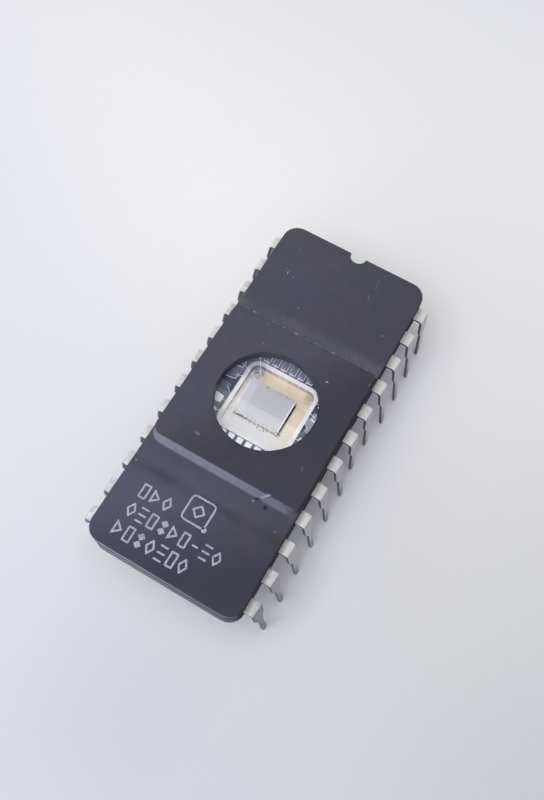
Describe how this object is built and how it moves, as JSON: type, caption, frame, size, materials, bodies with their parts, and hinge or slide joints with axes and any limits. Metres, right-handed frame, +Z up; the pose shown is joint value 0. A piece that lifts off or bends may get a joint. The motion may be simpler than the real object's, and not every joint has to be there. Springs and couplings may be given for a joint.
{
  "type": "eprom chip",
  "caption": "Windowed ceramic memory chip in a dual in-line package: dark body with a raised centre block, a round clear window over the die, and two rows of formed tinned leads.",
  "frame": {"origin": "on the surface the lead tips stand on, under the middle of the body", "axes": "+X across the width towards pins 13 to 24, +Y along the length towards the notch at the pin 1 end, +Z up through the window"},
  "size_m": [0.0166, 0.0314, 0.0081],
  "materials": {
    "dark_ceramic": "satin",
    "sealing_glass": "satin",
    "window_glass": "polished",
    "cavity_metal": "satin",
    "die_attach": "satin",
    "silicon": "gloss",
    "tinned_lead": "satin",
    "bond_wire": "satin"
  },
  "bodies": {
    "root": {"ceramic_base": "dark_ceramic", "ceramic_lid": "dark_ceramic", "seal_glass": "sealing_glass", "window_lens": "window_glass", "cavity_plating": "cavity_metal", "die_attach": "die_attach", "silicon_die": "silicon", "lead_01": "tinned_lead", "lead_02": "tinned_lead", "lead_03": "tinned_lead", "lead_04": "tinned_lead", "lead_05": "tinned_lead", "lead_06": "tinned_lead", "lead_07": "tinned_lead", "lead_08": "tinned_lead", "lead_09": "tinned_lead", "lead_10": "tinned_lead", "lead_11": "tinned_lead", "lead_12": "tinned_lead", "lead_13": "tinned_lead", "lead_14": "tinned_lead", "lead_15": "tinned_lead", "lead_16": "tinned_lead", "lead_17": "tinned_lead", "lead_18": "tinned_lead", "lead_19": "tinned_lead", "lead_20": "tinned_lead", "lead_21": "tinned_lead", "lead_22": "tinned_lead", "lead_23": "tinned_lead", "lead_24": "tinned_lead", "bond_wire_01": "bond_wire", "bond_wire_02": "bond_wire", "bond_wire_03": "bond_wire", "bond_wire_04": "bond_wire", "bond_wire_05": "bond_wire", "bond_wire_06": "bond_wire", "bond_wire_07": "bond_wire", "bond_wire_08": "bond_wire", "bond_wire_09": "bond_wire", "bond_wire_10": "bond_wire", "bond_wire_11": "bond_wire", "bond_wire_12": "bond_wire", "bond_wire_13": "bond_wire", "bond_wire_14": "bond_wire", "bond_wire_15": "bond_wire", "bond_wire_16": "bond_wire", "bond_wire_17": "bond_wire", "bond_wire_18": "bond_wire", "bond_wire_19": "bond_wire", "bond_wire_20": "bond_wire", "bond_wire_21": "bond_wire", "bond_wire_22": "bond_wire", "bond_wire_23": "bond_wire", "bond_wire_24": "bond_wire"}
  },
  "joints": []
}
